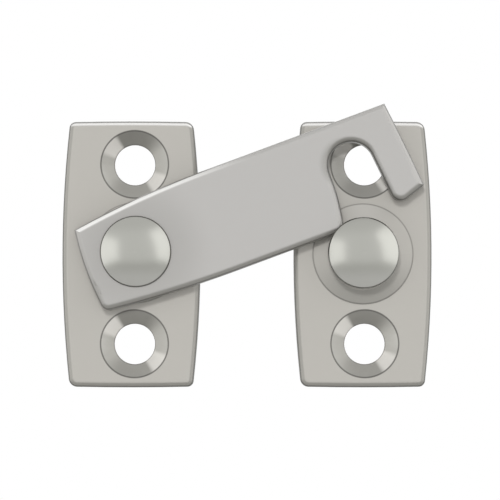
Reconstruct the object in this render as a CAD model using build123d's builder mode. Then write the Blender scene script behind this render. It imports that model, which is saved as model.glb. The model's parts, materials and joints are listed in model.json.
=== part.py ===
from build123d import *
from math import cos, radians, sin, tan
import os

# A small shutter latch: two cast plates with countersunk screw holes, a flared bar with a
# hooked end that swings on a mushroom-headed rivet, and a matching headed knob that the
# hook drops over. Back faces lie on Y = 0, the front looks along -Y, +Z is up, and the
# origin is midway between the pivot plate's screw holes, on its back face.

os.makedirs("parts", exist_ok=True)

# Plates
plate_height = 29.3
plate_width = 15.2
plate_thickness = 1.9
plate_side_bow = 0.82
plate_end_bow = 0.08
plate_spacing = 25.3
pivot_plate_shift = -0.36
strike_plate_shift = -0.22
tight_corner = 0.72
soft_corner = 0.95
plate_edge_round = 0.66

# Screw holes
screw_spacing = 19.74
screw_hole_d = 4.46
countersink_d = 7.44
countersink_angle = 90.0

# Raised round seats on the plates
seat_d = 11.0
seat_height = 0.55
seat_slope_width = 1.5
seat_slope_height = 0.33
axis_inset = 0.2
pivot_rise = 0.14

# Headed studs: the pivot rivet and the knob
head_d = 7.8
head_height = 2.2
head_rim = 0.35
head_rim_draft = 0.13
stud_d = 3.6
tenon_d = 2.6
peened_d = 3.8
peen_angle = 90.0
rivet_gap = 0.02

# Bar
bar_thickness = 2.2
bar_raise = 20.4
pivot_to_end = 5.45
body_station = 10.0
top_at_end = 4.56
top_edge = 5.75
bottom_at_end = 4.91
bottom_edge = 5.75
end_edge_radius = 32.0
bar_edge_round = 0.7
bar_end_corner = 0.9

# Hook and notch
notch_angle = 1.56
hook_lean = 5.5
hook_arm_width = 3.66
hook_edge_radius = 180.0
tip_drop = 4.13
tip_slope = 17.5
tip_corner = 1.1
nose_corner = 0.8

# Clearances
face_gap = 0.1
bore_gap = 0.05
nose_clearance = 0.2
hook_clearance = 1.26

# Depths in front of the back faces
seat_top = plate_thickness + seat_height
bar_back = seat_top + face_gap
bar_front = bar_back + bar_thickness
head_base = bar_front + face_gap

# Axes of the rivet and the knob. The knob stands midway up its plate, the rivet a little higher
pivot_x = axis_inset
knob_x = plate_spacing - axis_inset
knob_distance = ((knob_x - pivot_x) ** 2 + pivot_rise**2) ** 0.5


# A cast plate with its seat, its screw holes and the hole for the stud's tenon. The plate's
# outline, the screw line and the seat each have a place of their own along X
def cast_plate(outline_x, screw_x, seat_x, seat_z):
    back = Plane(origin=(outline_x, 0, 0), x_dir=(1, 0, 0), z_dir=(0, -1, 0))
    front = back.offset(plate_thickness)
    behind = Plane(origin=(seat_x, 0, seat_z), z_dir=(0, 1, 0))
    half_end = plate_height / 2 - plate_end_bow
    half_side = plate_width / 2 - plate_side_bow
    with BuildPart() as plate:
        with BuildSketch(back) as outline:
            with BuildLine():
                corners = [
                    (half_side, half_end),
                    (half_side, -half_end),
                    (-half_side, -half_end),
                    (-half_side, half_end),
                ]
                SagittaArc(corners[0], corners[1], plate_side_bow)
                SagittaArc(corners[1], corners[2], plate_end_bow)
                SagittaArc(corners[2], corners[3], plate_side_bow)
                SagittaArc(corners[3], corners[0], plate_end_bow)
            make_face()

            # Top left and bottom right are tighter than the other two corners
            for corner, radius in zip(corners, (soft_corner, tight_corner, soft_corner, tight_corner)):
                fillet(outline.vertices().sort_by_distance(corner)[0], radius)
        extrude(amount=plate_thickness)
        front_rim = plate.faces().sort_by(Axis.Y)[0].edges()
        fillet(front_rim, plate_edge_round)

        # Raised seat round the stud, which slopes away outside the stud's head
        with BuildSketch(front):
            with Locations((seat_x - outline_x, seat_z)):
                Circle(seat_d / 2)
        extrude(amount=seat_height)
        seat_face = plate.faces().sort_by(Axis.Y)[0]
        chamfer(seat_face.edges(), seat_slope_width, seat_slope_height, reference=seat_face)

        # Screw holes, one above and one below the seat
        with Locations(front):
            with Locations((screw_x - outline_x, screw_spacing / 2), (screw_x - outline_x, -screw_spacing / 2)):
                CounterSinkHole(screw_hole_d / 2, countersink_d / 2, counter_sink_angle=countersink_angle)

        # Hole for the stud's tenon, countersunk behind for the peened tail
        with Locations(behind):
            CounterSinkHole(tenon_d / 2 + rivet_gap, peened_d / 2 + rivet_gap, counter_sink_angle=peen_angle)
    return plate


# One turned stud, used twice: a domed head on a shoulder that stands on the seat, and a
# tenon through the plate, peened flush behind
def headed_stud(axis_x, axis_z):
    section = Plane(origin=(axis_x, 0, axis_z), x_dir=(1, 0, 0), z_dir=(0, 0, -1))
    peen_depth = (peened_d - tenon_d) / 2 / tan(radians(peen_angle / 2))
    dome_edge = head_d / 2 - head_rim_draft
    dome_height = head_height - head_rim
    dome_radius = (dome_edge**2 + dome_height**2) / (2 * dome_height)
    with BuildPart() as stud:
        with BuildSketch(section):
            with BuildLine():
                Polyline(
                    (0, head_base + head_height),
                    (0, 0),
                    (peened_d / 2, 0),
                    (tenon_d / 2, peen_depth),
                    (tenon_d / 2, seat_top),
                    (stud_d / 2, seat_top),
                    (stud_d / 2, head_base),
                    (head_d / 2, head_base),
                    (dome_edge, head_base + head_rim),
                )
                RadiusArc((0, head_base + head_height), (dome_edge, head_base + head_rim), dome_radius)
            make_face()
        revolve(axis=Axis((axis_x, 0, axis_z), (0, -1, 0)))
    return stud


pivot_plate = cast_plate(pivot_plate_shift, 0, pivot_x, pivot_rise)
pivot_plate.part.label = "pivot_plate"

strike_plate = cast_plate(plate_spacing + strike_plate_shift, plate_spacing, knob_x, 0)
strike_plate.part.label = "strike_plate"

pivot_rivet = headed_stud(pivot_x, pivot_rise)
pivot_rivet.part.label = "pivot_rivet"

strike_knob = headed_stud(knob_x, 0)
strike_knob.part.label = "strike_knob"


# Bar outline, in the bar's own plane: origin on the pivot axis, x along the bar. Its top and
# bottom edges run parallel along the body and curve in towards the pivoted end
lean = radians(hook_lean)
slope = radians(tip_slope)
end_top = Vector(-pivot_to_end, top_at_end)
end_bottom = Vector(-pivot_to_end, -bottom_at_end)
body_top = Vector(body_station, top_edge)
body_bottom = Vector(body_station, -bottom_edge)

# The nose is an arc struck from the pivot, so it passes the knob's stem at one distance
nose_radius = knob_distance - stud_d / 2 - nose_clearance
nose_tip = Vector((nose_radius**2 - bottom_edge**2) ** 0.5, -bottom_edge)

# The notch's round end is tangent to the nose and to the hook's inner side
notch_radius = (stud_d + nose_clearance + hook_clearance) / 2
notch_centre = Vector(nose_radius + notch_radius, 0).rotate(Axis.Z, notch_angle)
across_hook = Vector(cos(lean), sin(lean))
down_hook = Vector(sin(lean), -cos(lean))
notch_top = notch_centre - down_hook * notch_radius
notch_inner = notch_centre.normalized() * nose_radius
notch_outer = notch_centre + across_hook * notch_radius
nose_mid = (notch_inner + nose_tip).normalized() * nose_radius

# The hook's outer side meets the top edge, and its tip is cut at a slope
hook_offset = notch_centre.dot(across_hook) + notch_radius + hook_arm_width
heel = Vector((hook_offset - top_edge * sin(lean)) / cos(lean), top_edge)
tip_outer = heel + down_hook * ((top_edge + tip_drop) / cos(lean))
tip_inner = tip_outer - Vector(cos(slope), sin(slope)) * (hook_arm_width / cos(slope - lean))

raised = radians(bar_raise)
bar_plane = Plane(
    origin=(pivot_x, -bar_back, pivot_rise),
    x_dir=(cos(raised), 0, sin(raised)),
    z_dir=(0, -1, 0),
)

with BuildPart() as latch_bar:
    with BuildSketch(bar_plane) as bar_outline:
        with BuildLine():
            TangentArc(body_top, end_top, tangent=(-1, 0))
            Line(body_top, heel)
            RadiusArc(heel, tip_outer, hook_edge_radius)
            Line(tip_outer, tip_inner)
            Line(tip_inner, notch_outer)
            ThreePointArc(notch_outer, notch_top, notch_inner)
            ThreePointArc(notch_inner, nose_mid, nose_tip)
            Line(nose_tip, body_bottom)
            TangentArc(body_bottom, end_bottom, tangent=(-1, 0))
            RadiusArc(end_bottom, end_top, end_edge_radius)
        make_face()
        for corner, radius in ((tip_inner, tip_corner), (nose_tip, nose_corner), (end_bottom, bar_end_corner)):
            fillet(bar_outline.vertices().sort_by_distance(corner)[0], radius)
    extrude(amount=bar_thickness)
    front_rim = latch_bar.faces().sort_by(Axis.Y)[0].edges()
    fillet(front_rim, bar_edge_round)
    with Locations(bar_plane.offset(bar_thickness)):
        Hole(stud_d / 2 + bore_gap)
latch_bar.part.label = "latch_bar"

for piece in (pivot_plate, latch_bar, pivot_rivet, strike_plate, strike_knob):
    export_step(piece.part, f"parts/{piece.part.label}.step")
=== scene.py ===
import json
import math

import bpy
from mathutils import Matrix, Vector


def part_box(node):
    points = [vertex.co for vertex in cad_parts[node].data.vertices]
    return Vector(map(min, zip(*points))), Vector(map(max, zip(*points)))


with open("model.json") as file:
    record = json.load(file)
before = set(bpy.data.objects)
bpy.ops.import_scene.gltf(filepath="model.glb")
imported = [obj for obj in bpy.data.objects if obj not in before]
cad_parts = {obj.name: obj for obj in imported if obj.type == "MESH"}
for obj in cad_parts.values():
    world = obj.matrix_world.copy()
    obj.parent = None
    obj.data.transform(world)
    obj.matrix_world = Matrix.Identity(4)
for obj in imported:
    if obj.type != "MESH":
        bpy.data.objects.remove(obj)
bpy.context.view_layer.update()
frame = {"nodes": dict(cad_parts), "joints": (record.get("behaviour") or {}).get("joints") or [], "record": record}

bl_info = {
    "name": "Shutter Latch",
    "version": (1, 0, 0),
    "blender": (4, 5, 0),
    "location": "View3D > Sidebar > Shutter Latch",
    "description": "Satin nickel finishes, studio and camera for a small shutter latch",
    "category": "Object",
}

MM = 0.001

# Mottle and grain of the satin finish
MOTTLE_SCALE = 420.0
MOTTLE_DETAIL = 4.0
MOTTLE_SPREAD = 0.08
GRAIN_SCALE = 9000.0
GRAIN_DETAIL = 3.0
GRAIN_STRENGTH = 0.15
GRAIN_DEPTH = 0.02 * MM

# Radii in millimetres of the plates' countersinks and raised seats
COUNTERSINK_RADIUS = 3.72
SEAT_RADIUS = 5.5

# Direction of the two painted highlight streaks across each countersink
STREAK_HIGHLIGHT_ANGLE = math.radians(142.0)

# Painted shade and painted highlight patches on the bar: the distances in millimetres at which each one starts and
# is full
PAINTED_SHADE_ROUND_RIVET = (9.0, 4.5)
PAINTED_HIGHLIGHT_TOWARDS_RIVET = (18.0, 6.0)
PAINTED_SHADE_ROUND_STEM = (3.1, 2.2)

# Soft boxes: the place from the point aimed at, the width and the height in metres, the
# brightness of the face, and whether reflections show it. One stands to each side, one above
# and behind, and a far small one in front, for the shadows
SOFT_BOXES = {
    "left_box": ((-0.5, -0.12, -0.06), 0.8, 0.7, 0.6, True),
    "right_box": ((0.5, -0.1, 0.16), 0.8, 0.7, 0.65, True),
    "top_box": ((0.0, 0.42, 0.42), 0.9, 0.3, 1.5, True),
    "front_box": ((-0.1, -1.15, 0.31), 0.14, 0.14, 140.0, False),
}


class Socket:
    """An output socket whose arithmetic adds Math nodes to its tree."""

    def __init__(self, maker, output):
        self.maker = maker
        self.output = output

    def worked(self, operation, *terms):
        return self.maker.node("ShaderNodeMath", {"operation": operation}, dict(enumerate(terms)))

    def step(self, start, stop):
        """Rises smoothly from 0 where this is at start to 1 where it is at stop."""
        return self.maker.node(
            "ShaderNodeMapRange",
            {"interpolation_type": "SMOOTHSTEP"},
            {"Value": self, "From Min": start, "From Max": stop},
        )

    def band(self, start, full, fade, stop):
        """Is 1 where this is between full and fade, and falls smoothly to 0 at start and stop."""
        return self.step(start, full) * self.step(stop, fade)

    def root(self):
        return self.worked("SQRT", self)

    def __add__(self, other):
        return self.worked("ADD", self, other)

    def __radd__(self, other):
        return self.worked("ADD", other, self)

    def __sub__(self, other):
        return self.worked("SUBTRACT", self, other)

    def __rsub__(self, other):
        return self.worked("SUBTRACT", other, self)

    def __mul__(self, other):
        return self.worked("MULTIPLY", self, other)

    def __rmul__(self, other):
        return self.worked("MULTIPLY", other, self)

    def __truediv__(self, other):
        return self.worked("DIVIDE", self, other)

    def __rtruediv__(self, other):
        return self.worked("DIVIDE", other, self)

    def __gt__(self, other):
        return self.worked("GREATER_THAN", self, other)


class NodeMaker:
    """Fills a node tree, one node at a time."""

    def __init__(self, tree):
        self.tree = tree
        tree.nodes.clear()

    def node(self, kind, settings=None, sockets=None, output=0):
        """Adds a node: its settings first, then the values or links of its sockets."""
        made = self.tree.nodes.new(kind)
        for name, value in (settings or {}).items():
            setattr(made, name, value)
        for name, value in (sockets or {}).items():
            if isinstance(value, Socket):
                self.tree.links.new(value.output, made.inputs[name])
            else:
                made.inputs[name].default_value = value
        return Socket(self, made.outputs[output]) if made.outputs else None


class LatchFinish(bpy.types.PropertyGroup):
    cast_colour: bpy.props.FloatVectorProperty(
        name="Cast colour",
        description="Colour of the satin nickel on the two cast plates",
        subtype="COLOR",
        size=3,
        min=0.0,
        max=1.0,
        default=(0.488, 0.472, 0.437),
    )
    bar_colour: bpy.props.FloatVectorProperty(
        name="Bar colour",
        description="Colour of the satin nickel on the bar",
        subtype="COLOR",
        size=3,
        min=0.0,
        max=1.0,
        default=(0.49, 0.48, 0.465),
    )
    turned_colour: bpy.props.FloatVectorProperty(
        name="Turned colour",
        description="Colour of the satin nickel on the turned heads",
        subtype="COLOR",
        size=3,
        min=0.0,
        max=1.0,
        default=(0.445, 0.445, 0.412),
    )
    bored_colour: bpy.props.FloatVectorProperty(
        name="Bored colour",
        description="Colour of the turned metal in the countersinks",
        subtype="COLOR",
        size=3,
        min=0.0,
        max=1.0,
        default=(0.52, 0.51, 0.475),
    )
    # Painted highlight: this colour lays the streaks across the countersinks
    painted_streak_highlight_colour: bpy.props.FloatVectorProperty(
        name="Streak colour",
        description="Colour of the light streaks across the countersinks",
        subtype="COLOR",
        size=3,
        min=0.0,
        max=1.0,
        default=(0.8, 0.78, 0.74),
    )
    # Painted shade: this colour darkens the rolled edges, undersides, lower slopes, countersinks and the patches
    # round the rivet and the stem
    painted_shade_colour: bpy.props.FloatVectorProperty(
        name="Side colour",
        description="Colour of the duller metal on rolled edges, slopes and dull patches",
        subtype="COLOR",
        size=3,
        min=0.0,
        max=1.0,
        default=(0.24, 0.235, 0.215),
    )
    # Painted highlight: this colour lightens the upper edges of the plates and the bar and the lower side of the
    # heads
    painted_highlight_colour: bpy.props.FloatVectorProperty(
        name="Worn colour",
        description="Colour of the brighter metal along the upper edges and low on the heads",
        subtype="COLOR",
        size=3,
        min=0.0,
        max=1.0,
        default=(0.9, 0.89, 0.87),
    )
    # Painted shade: this dark colour lines the walls, the countersinks' rims and bores, the seats' foot and the
    # studs' rims
    painted_line_shade_colour: bpy.props.FloatVectorProperty(
        name="Line colour",
        description="Colour of the dark metal down the walls and round the countersinks",
        subtype="COLOR",
        size=3,
        min=0.0,
        max=1.0,
        default=(0.09, 0.088, 0.08),
    )
    roughness: bpy.props.FloatProperty(
        name="Roughness",
        description="How far the satin finish of the plates and the bar spreads a reflection",
        subtype="FACTOR",
        min=0.0,
        max=1.0,
        default=0.4,
    )
    turned_roughness: bpy.props.FloatProperty(
        name="Turned roughness",
        description="How far the turned heads spread a reflection",
        subtype="FACTOR",
        min=0.0,
        max=1.0,
        default=0.3,
    )
    bored_roughness: bpy.props.FloatProperty(
        name="Bored roughness",
        description="How far the countersinks spread a reflection",
        subtype="FACTOR",
        min=0.0,
        max=1.0,
        default=0.25,
    )
    gleam: bpy.props.FloatProperty(
        name="Gleam",
        description="How far the plates and the bar reflect as bare metal, against a matt bloom",
        subtype="FACTOR",
        min=0.0,
        max=1.0,
        default=0.5,
    )
    bored_gleam: bpy.props.FloatProperty(
        name="Bored gleam",
        description="How far the countersinks reflect as bare metal, against a matt bloom",
        subtype="FACTOR",
        min=0.0,
        max=1.0,
        default=0.2,
    )


class LatchStudio(bpy.types.PropertyGroup):
    lens: bpy.props.FloatProperty(
        name="Lens",
        description="Focal length of the camera",
        subtype="DISTANCE_CAMERA",
        unit="CAMERA",
        default=262.0,
    )
    distance: bpy.props.FloatProperty(
        name="Distance",
        description="From the camera to the plates' front faces",
        subtype="DISTANCE",
        unit="LENGTH",
        default=0.4,
    )
    elevation: bpy.props.FloatProperty(
        name="Elevation",
        description="Height of the camera above the horizon, seen from the latch",
        subtype="ANGLE",
        unit="ROTATION",
        default=math.radians(-2.5),
    )
    aim: bpy.props.FloatVectorProperty(
        name="Aim",
        description="Point at the middle of the picture",
        subtype="TRANSLATION",
        unit="LENGTH",
        size=3,
        default=(0.01269, -0.0019, 0.00043),
    )
    floor_depth: bpy.props.FloatProperty(
        name="Floor depth",
        description="How far the floor lies below the middle of the pivot plate",
        subtype="DISTANCE",
        unit="LENGTH",
        default=0.12,
    )
    floor_reach: bpy.props.FloatProperty(
        name="Floor reach",
        description="From the middle of the floor to its edges",
        subtype="DISTANCE",
        unit="LENGTH",
        default=0.3,
    )
    floor_colour: bpy.props.FloatVectorProperty(
        name="Floor colour",
        description="Colour of the pale floor",
        subtype="COLOR",
        size=3,
        min=0.0,
        max=1.0,
        default=(0.88, 0.88, 0.87),
    )
    surround_light: bpy.props.FloatProperty(
        name="Surround light",
        description="Brightness of the surround as a light, where 1 is white",
        min=0.0,
        max=1.0,
        default=0.25,
    )


class Nickel:
    """A satin nickel material, built up in layers over one metal."""

    def __init__(self, name, colour, roughness, gleam):
        self.material = bpy.data.materials.new(name)
        self.material.use_nodes = True
        self.maker = NodeMaker(self.material.node_tree)
        self.place = self.maker.node("ShaderNodeTexCoord", output="Object")
        facing = self.maker.node("ShaderNodeTexCoord", output="Normal")
        backward = self.part(facing, "Y")

        # Flatness is 1 on the front and back faces and 0 on the walls, front is 1 on the front
        # alone, and upward runs from -1 where the surface faces down to 1 where it faces up
        self.flatness = backward * backward
        self.front = (0.0 - backward).step(0.1, 0.4)
        self.upward = self.part(facing, "Z")

        self.colour = (*colour, 1.0)
        self.gleam = gleam
        self.shading = facing
        mottle = self.noise(MOTTLE_SCALE, MOTTLE_DETAIL)
        self.rough = roughness + (mottle - 0.5) * MOTTLE_SPREAD

    def part(self, vector, axis):
        """One component of a vector."""
        return self.maker.node("ShaderNodeSeparateXYZ", sockets={"Vector": vector}, output=axis)

    def noise(self, scale, detail):
        """Even noise between 0 and 1."""
        return self.maker.node(
            "ShaderNodeTexNoise",
            {"noise_dimensions": "3D"},
            {"Vector": self.place, "Scale": scale, "Detail": detail, "Roughness": 0.6},
        )

    def tint(self, mask, colour, amount=1.0):
        """Lays another colour over the metal where the mask is 1."""
        # 6 and 7 are the two colours that a Mix node takes, and output 2 is the colour it gives
        self.colour = self.maker.node(
            "ShaderNodeMix",
            {"data_type": "RGBA"},
            {"Factor": mask * amount, 6: self.colour, 7: (*colour, 1.0)},
            output=2,
        )

    def resurface(self, mask, roughness, gleam):
        """Gives the metal another roughness and gleam where the mask is 1."""
        self.rough = self.rough + mask * (roughness - self.rough)
        self.gleam = self.gleam + mask * (gleam - self.gleam)

    def turn_forwards(self, amount):
        """Turns the surface's shading towards the front."""
        self.shading = self.maker.node(
            "ShaderNodeVectorMath",
            {"operation": "ADD"},
            {0: self.shading, 1: (0.0, -amount, 0.0)},
        )

    def from_axis(self, x, z):
        """Distance in millimetres from the line along Y through x and z, and its two parts."""
        across = self.part(self.place, "X") * (1.0 / MM) - x
        along = self.part(self.place, "Z") * (1.0 / MM) - z
        return (across * across + along * along).root(), across, along

    def done(self):
        """Finishes the material, with a fine grain, and returns it."""
        normal = self.maker.node(
            "ShaderNodeVectorTransform",
            {"vector_type": "NORMAL", "convert_from": "OBJECT", "convert_to": "WORLD"},
            {"Vector": self.shading},
        )
        bump = self.maker.node(
            "ShaderNodeBump",
            sockets={
                "Strength": GRAIN_STRENGTH,
                "Distance": GRAIN_DEPTH,
                "Height": self.noise(GRAIN_SCALE, GRAIN_DETAIL),
                "Normal": normal,
            },
        )
        shader = self.maker.node(
            "ShaderNodeBsdfPrincipled",
            sockets={
                "Base Color": self.colour,
                "Metallic": self.gleam,
                "Roughness": self.rough,
                "Normal": bump,
            },
        )
        self.maker.node("ShaderNodeOutputMaterial", {"target": "ALL"}, {"Surface": shader})
        return self.material


def screw_holes(mount):
    """The middle of a plate's screw line, half its length and the bore's radius, in millimetres."""
    for row in frame["record"]["mounts"]:
        if row["name"] == mount:
            x, _, z = row["pos_m"]
            return x / MM, z / MM, row["dims"]["spacing_y_mm"] / 2, row["dims"]["hole_r_mm"]
    raise RuntimeError("no mount " + mount)


def middle(corners):
    """The middle of a box along X and Z, in millimetres."""
    low, high = corners
    return [(low[k] + high[k]) / 2 / MM for k in (0, 2)]


def latched_place():
    """Where the knob's stem sits in the notch, in millimetres and in the bar's place at rest."""
    for joint in frame["joints"]:
        if joint["name"] == "bar_swing":
            knob_x, knob_z = middle(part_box("strike_knob"))
            pivot_x = joint["pos_m"][0] / MM
            pivot_z = joint["pos_m"][2] / MM
            reach = knob_x - pivot_x
            rise = knob_z - pivot_z
            turn = math.radians(-joint["range_deg"][0])
            x = pivot_x + reach * math.cos(turn) - rise * math.sin(turn)
            z = pivot_z + reach * math.sin(turn) + rise * math.cos(turn)
            return x, z
    raise RuntimeError("no joint bar_swing")


def dress(node, material):
    """Puts a material into every slot of a CAD node."""
    piece = frame["nodes"][node]
    for slot in piece.material_slots:
        slot.material = material


def soft_box(name, place, aim, width, height, glow, gloss):
    """An even area light whose face has the given brightness, where 1 is white."""
    lamp = bpy.data.lights.new(name, "AREA")
    lamp.shape = "RECTANGLE"
    lamp.size = width
    lamp.size_y = height
    lamp.energy = glow * math.pi * width * height
    box = bpy.data.objects.new(name, lamp)
    box.location = place
    box.rotation_mode = "QUATERNION"
    box.rotation_quaternion = (aim - place).to_track_quat("-Z", "Y")
    box.visible_camera = False
    box.visible_glossy = gloss
    bpy.context.scene.collection.objects.link(box)


class LATCH_OT_plates(bpy.types.Operator):
    """Finish the two cast plates in satin nickel, with turned countersinks"""

    bl_idname = "latch.plates"
    bl_label = "Finish Plates"

    def execute(self, context):
        finish = context.scene.latch_finish
        for node, mount, stud in (
            ("pivot_plate", "pivot_plate_screws", "pivot_rivet"),
            ("strike_plate", "strike_plate_screws", "strike_knob"),
        ):
            metal = Nickel(node + "_nickel", finish.cast_colour, finish.roughness, finish.gleam)

            # Painted shade on the rolls, a painted highlight along the upper edges, and painted shade down the
            # walls that is darkest next to the rolls
            rolls = metal.flatness.step(0.995, 0.84)
            upper_edges = metal.upward.step(0.15, 0.45) * metal.flatness.step(0.15, 0.4)
            walls = metal.flatness.step(0.5, 0.3)
            lines = metal.flatness.band(0.0, 0.1, 0.3, 0.45)
            top_line = metal.flatness.band(0.0, 0.1, 0.46, 0.58) * metal.upward.step(0.4, 0.6)
            metal.tint(rolls, finish.painted_shade_colour, 0.72)
            metal.tint(upper_edges, finish.painted_highlight_colour, 0.9)
            metal.tint(walls, finish.painted_line_shade_colour, 0.3)
            metal.tint(lines, finish.painted_line_shade_colour, 0.65)
            metal.tint(top_line, finish.painted_line_shade_colour, 0.55)

            # Countersinks: smoother turned work, with painted shade above and below and painted highlight streaks
            # across
            x, z, half, bore = screw_holes(mount)
            edge = COUNTERSINK_RADIUS
            for hole_z in (z + half, z - half):
                radius, across, along = metal.from_axis(x, hole_z)
                bored = radius.step(edge + 0.01, edge - 0.03) * metal.front
                upper_side = bored * metal.upward.step(-0.3, -0.65)
                lower_side = bored * metal.upward.step(0.3, 0.65)
                metal.resurface(bored, finish.bored_roughness, finish.bored_gleam)
                metal.tint(bored, finish.bored_colour)
                metal.tint(upper_side, finish.painted_shade_colour, 0.88)
                metal.tint(lower_side, finish.painted_shade_colour, 0.45)

                # The painted highlight streaks lie on both sides of the hole, along their own direction
                spoke = across * math.cos(STREAK_HIGHLIGHT_ANGLE) + along * math.sin(STREAK_HIGHLIGHT_ANGLE)
                toward = spoke * spoke / (radius * radius + 0.001)
                metal.tint(bored * toward.step(0.84, 0.96), finish.painted_streak_highlight_colour, 0.9)

                # Painted shade: dark lines round the countersink's rim and down the bore
                rim = radius.band(edge - 0.12, edge - 0.04, edge + 0.04, edge + 0.12)
                bore_wall = radius.step(bore + 0.12, bore + 0.02) * metal.flatness.step(0.8, 0.6)
                metal.tint(rim * metal.front, finish.painted_line_shade_colour, 0.8)
                metal.tint(bore_wall, finish.painted_line_shade_colour, 0.6)

            # Raised seat: painted shade on its lower slope, and a painted dark line of shade where it meets the
            # plate
            edge = SEAT_RADIUS
            radius = metal.from_axis(*middle(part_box(stud)))[0]
            slope = radius.step(edge + 0.02, edge - 0.02) * metal.upward.step(0.02, -0.24)
            foot = radius.band(edge - 0.14, edge - 0.04, edge + 0.02, edge + 0.1)
            metal.tint(slope, finish.painted_shade_colour, 0.6)
            metal.tint(foot * metal.front, finish.painted_line_shade_colour, 0.45)
            dress(node, metal.done())
        return {"FINISHED"}


class LATCH_OT_bar(bpy.types.Operator):
    """Finish the swinging bar in satin nickel"""

    bl_idname = "latch.bar"
    bl_label = "Finish Bar"

    def execute(self, context):
        finish = context.scene.latch_finish
        metal = Nickel("bar_nickel_finish", finish.bar_colour, finish.roughness, finish.gleam)

        # Painted shade on the rolls, and more painted shade along the bottom
        rolls = metal.flatness.step(0.99, 0.8)
        underside = metal.upward.step(-0.1, -0.45)
        metal.tint(rolls, finish.painted_shade_colour, 0.35)
        metal.tint(underside, finish.painted_shade_colour, 0.65)

        # A painted highlight along the top towards the rivet, and painted shade round the rivet itself
        radius = metal.from_axis(*middle(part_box("pivot_rivet")))[0]
        metal.tint(radius.step(*PAINTED_SHADE_ROUND_RIVET) * metal.front, finish.painted_shade_colour, 0.22)
        upper_edges = metal.upward.step(0.08, 0.4) * metal.flatness.step(0.15, 0.4)
        highlight_amount = 0.1 + 0.85 * radius.step(*PAINTED_HIGHLIGHT_TOWARDS_RIVET)
        metal.tint(upper_edges * highlight_amount, finish.painted_highlight_colour)

        # Painted shade where the knob's stem sits in the notch when the bar is down
        radius = metal.from_axis(*latched_place())[0]
        metal.tint(radius.step(*PAINTED_SHADE_ROUND_STEM) * metal.front, finish.painted_shade_colour, 0.45)

        # Painted shade down the walls, darkest next to the rolls
        walls = metal.flatness.step(0.5, 0.3)
        lines = metal.flatness.band(0.0, 0.1, 0.25, 0.4)
        metal.tint(walls, finish.painted_line_shade_colour, 0.25)
        metal.tint(lines, finish.painted_line_shade_colour, 0.45)
        dress("latch_bar", metal.done())
        return {"FINISHED"}


class LATCH_OT_studs(bpy.types.Operator):
    """Finish the pivot rivet and the knob in turned satin nickel"""

    bl_idname = "latch.studs"
    bl_label = "Finish Studs"

    def execute(self, context):
        finish = context.scene.latch_finish
        metal = Nickel(
            "turned_nickel_finish", finish.turned_colour, finish.turned_roughness, gleam=1.0
        )
        metal.turn_forwards(0.25)

        # Painted shade above, a painted highlight below, and painted dark shade round the rim and the shoulder
        upper_side = metal.upward.step(0.3, 0.65)
        lower_side = metal.upward.step(-0.3, -0.65)
        walls = metal.flatness.step(0.2, 0.1)
        metal.tint(upper_side, finish.painted_shade_colour, 0.2)
        metal.tint(lower_side, finish.painted_highlight_colour, 0.26)
        metal.tint(walls, finish.painted_line_shade_colour, 0.8)
        material = metal.done()
        dress("pivot_rivet", material)
        dress("strike_knob", material)
        return {"FINISHED"}


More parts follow.
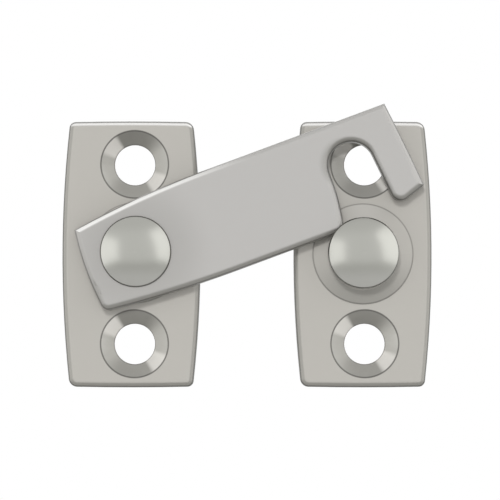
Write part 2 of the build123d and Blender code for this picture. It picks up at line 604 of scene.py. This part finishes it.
class LATCH_OT_studio(bpy.types.Operator):
    """Set up the floor, the soft light, the white surround and the camera"""

    bl_idname = "latch.studio"
    bl_label = "Set Up Studio"

    def execute(self, context):
        studio = context.scene.latch_studio
        scene = context.scene
        aim = Vector(studio.aim)

        # Camera
        lens = bpy.data.cameras.new("camera")
        lens.lens = studio.lens
        lens.sensor_width = 36.0
        lens.clip_start = 0.01
        lens.clip_end = 10.0
        camera = bpy.data.objects.new("camera", lens)
        back = Vector((0.0, -math.cos(studio.elevation), math.sin(studio.elevation)))
        camera.location = aim + back * studio.distance
        camera.rotation_mode = "QUATERNION"
        camera.rotation_quaternion = (-back).to_track_quat("-Z", "Y")
        scene.collection.objects.link(camera)
        scene.camera = camera

        # Floor
        mesh = bpy.data.meshes.new("floor")
        reach = studio.floor_reach
        corners = [(-reach, -reach, 0), (reach, -reach, 0), (reach, reach, 0), (-reach, reach, 0)]
        mesh.from_pydata(corners, [], [(0, 1, 2, 3)])
        floor = bpy.data.objects.new("floor", mesh)
        floor.location = (aim.x, 0.0, -studio.floor_depth)
        scene.collection.objects.link(floor)
        paint = bpy.data.materials.new("pale_floor")
        paint.use_nodes = True
        maker = NodeMaker(paint.node_tree)
        shader = maker.node(
            "ShaderNodeBsdfPrincipled",
            sockets={"Base Color": (*studio.floor_colour, 1.0), "Roughness": 0.8},
        )
        maker.node("ShaderNodeOutputMaterial", {"target": "ALL"}, {"Surface": shader})
        mesh.materials.append(paint)

        # Surround: white to the camera and in reflections, softer as a light
        world = bpy.data.worlds.new("surround")
        scene.world = world
        world.use_nodes = True
        maker = NodeMaker(world.node_tree)
        camera_ray = maker.node("ShaderNodeLightPath", output="Is Camera Ray")
        glossy_ray = maker.node("ShaderNodeLightPath", output="Is Glossy Ray")
        clear_ray = maker.node("ShaderNodeLightPath", output="Is Transmission Ray")
        seen = camera_ray + glossy_ray + clear_ray > 0.5
        level = seen + (1.0 - seen) * studio.surround_light
        shader = maker.node(
            "ShaderNodeBackground",
            sockets={"Color": (1.0, 1.0, 1.0, 1.0), "Strength": level},
        )
        maker.node("ShaderNodeOutputWorld", {"target": "ALL"}, {"Surface": shader})

        for name, (offset, width, height, glow, gloss) in SOFT_BOXES.items():
            soft_box(name, aim + Vector(offset), aim, width, height, glow, gloss)

        scene.view_settings.view_transform = "Standard"
        return {"FINISHED"}


class LATCH_PT_panel(bpy.types.Panel):
    bl_label = "Shutter Latch"
    bl_idname = "LATCH_PT_panel"
    bl_space_type = "VIEW_3D"
    bl_region_type = "UI"
    bl_category = "Shutter Latch"

    def draw(self, context):
        for operator in OPERATORS:
            self.layout.operator(operator.bl_idname)


OPERATORS = (LATCH_OT_studio, LATCH_OT_plates, LATCH_OT_bar, LATCH_OT_studs)
CLASSES = (LatchFinish, LatchStudio, *OPERATORS, LATCH_PT_panel)


def register():
    for made in CLASSES:
        bpy.utils.register_class(made)
    bpy.types.Scene.latch_finish = bpy.props.PointerProperty(type=LatchFinish)
    bpy.types.Scene.latch_studio = bpy.props.PointerProperty(type=LatchStudio)


def unregister():
    del bpy.types.Scene.latch_studio
    del bpy.types.Scene.latch_finish
    for made in reversed(CLASSES):
        bpy.utils.unregister_class(made)


def main():
    register()
    bpy.ops.latch.studio()
    bpy.ops.latch.plates()
    bpy.ops.latch.bar()
    bpy.ops.latch.studs()


if __name__ == "__main__":
    main()
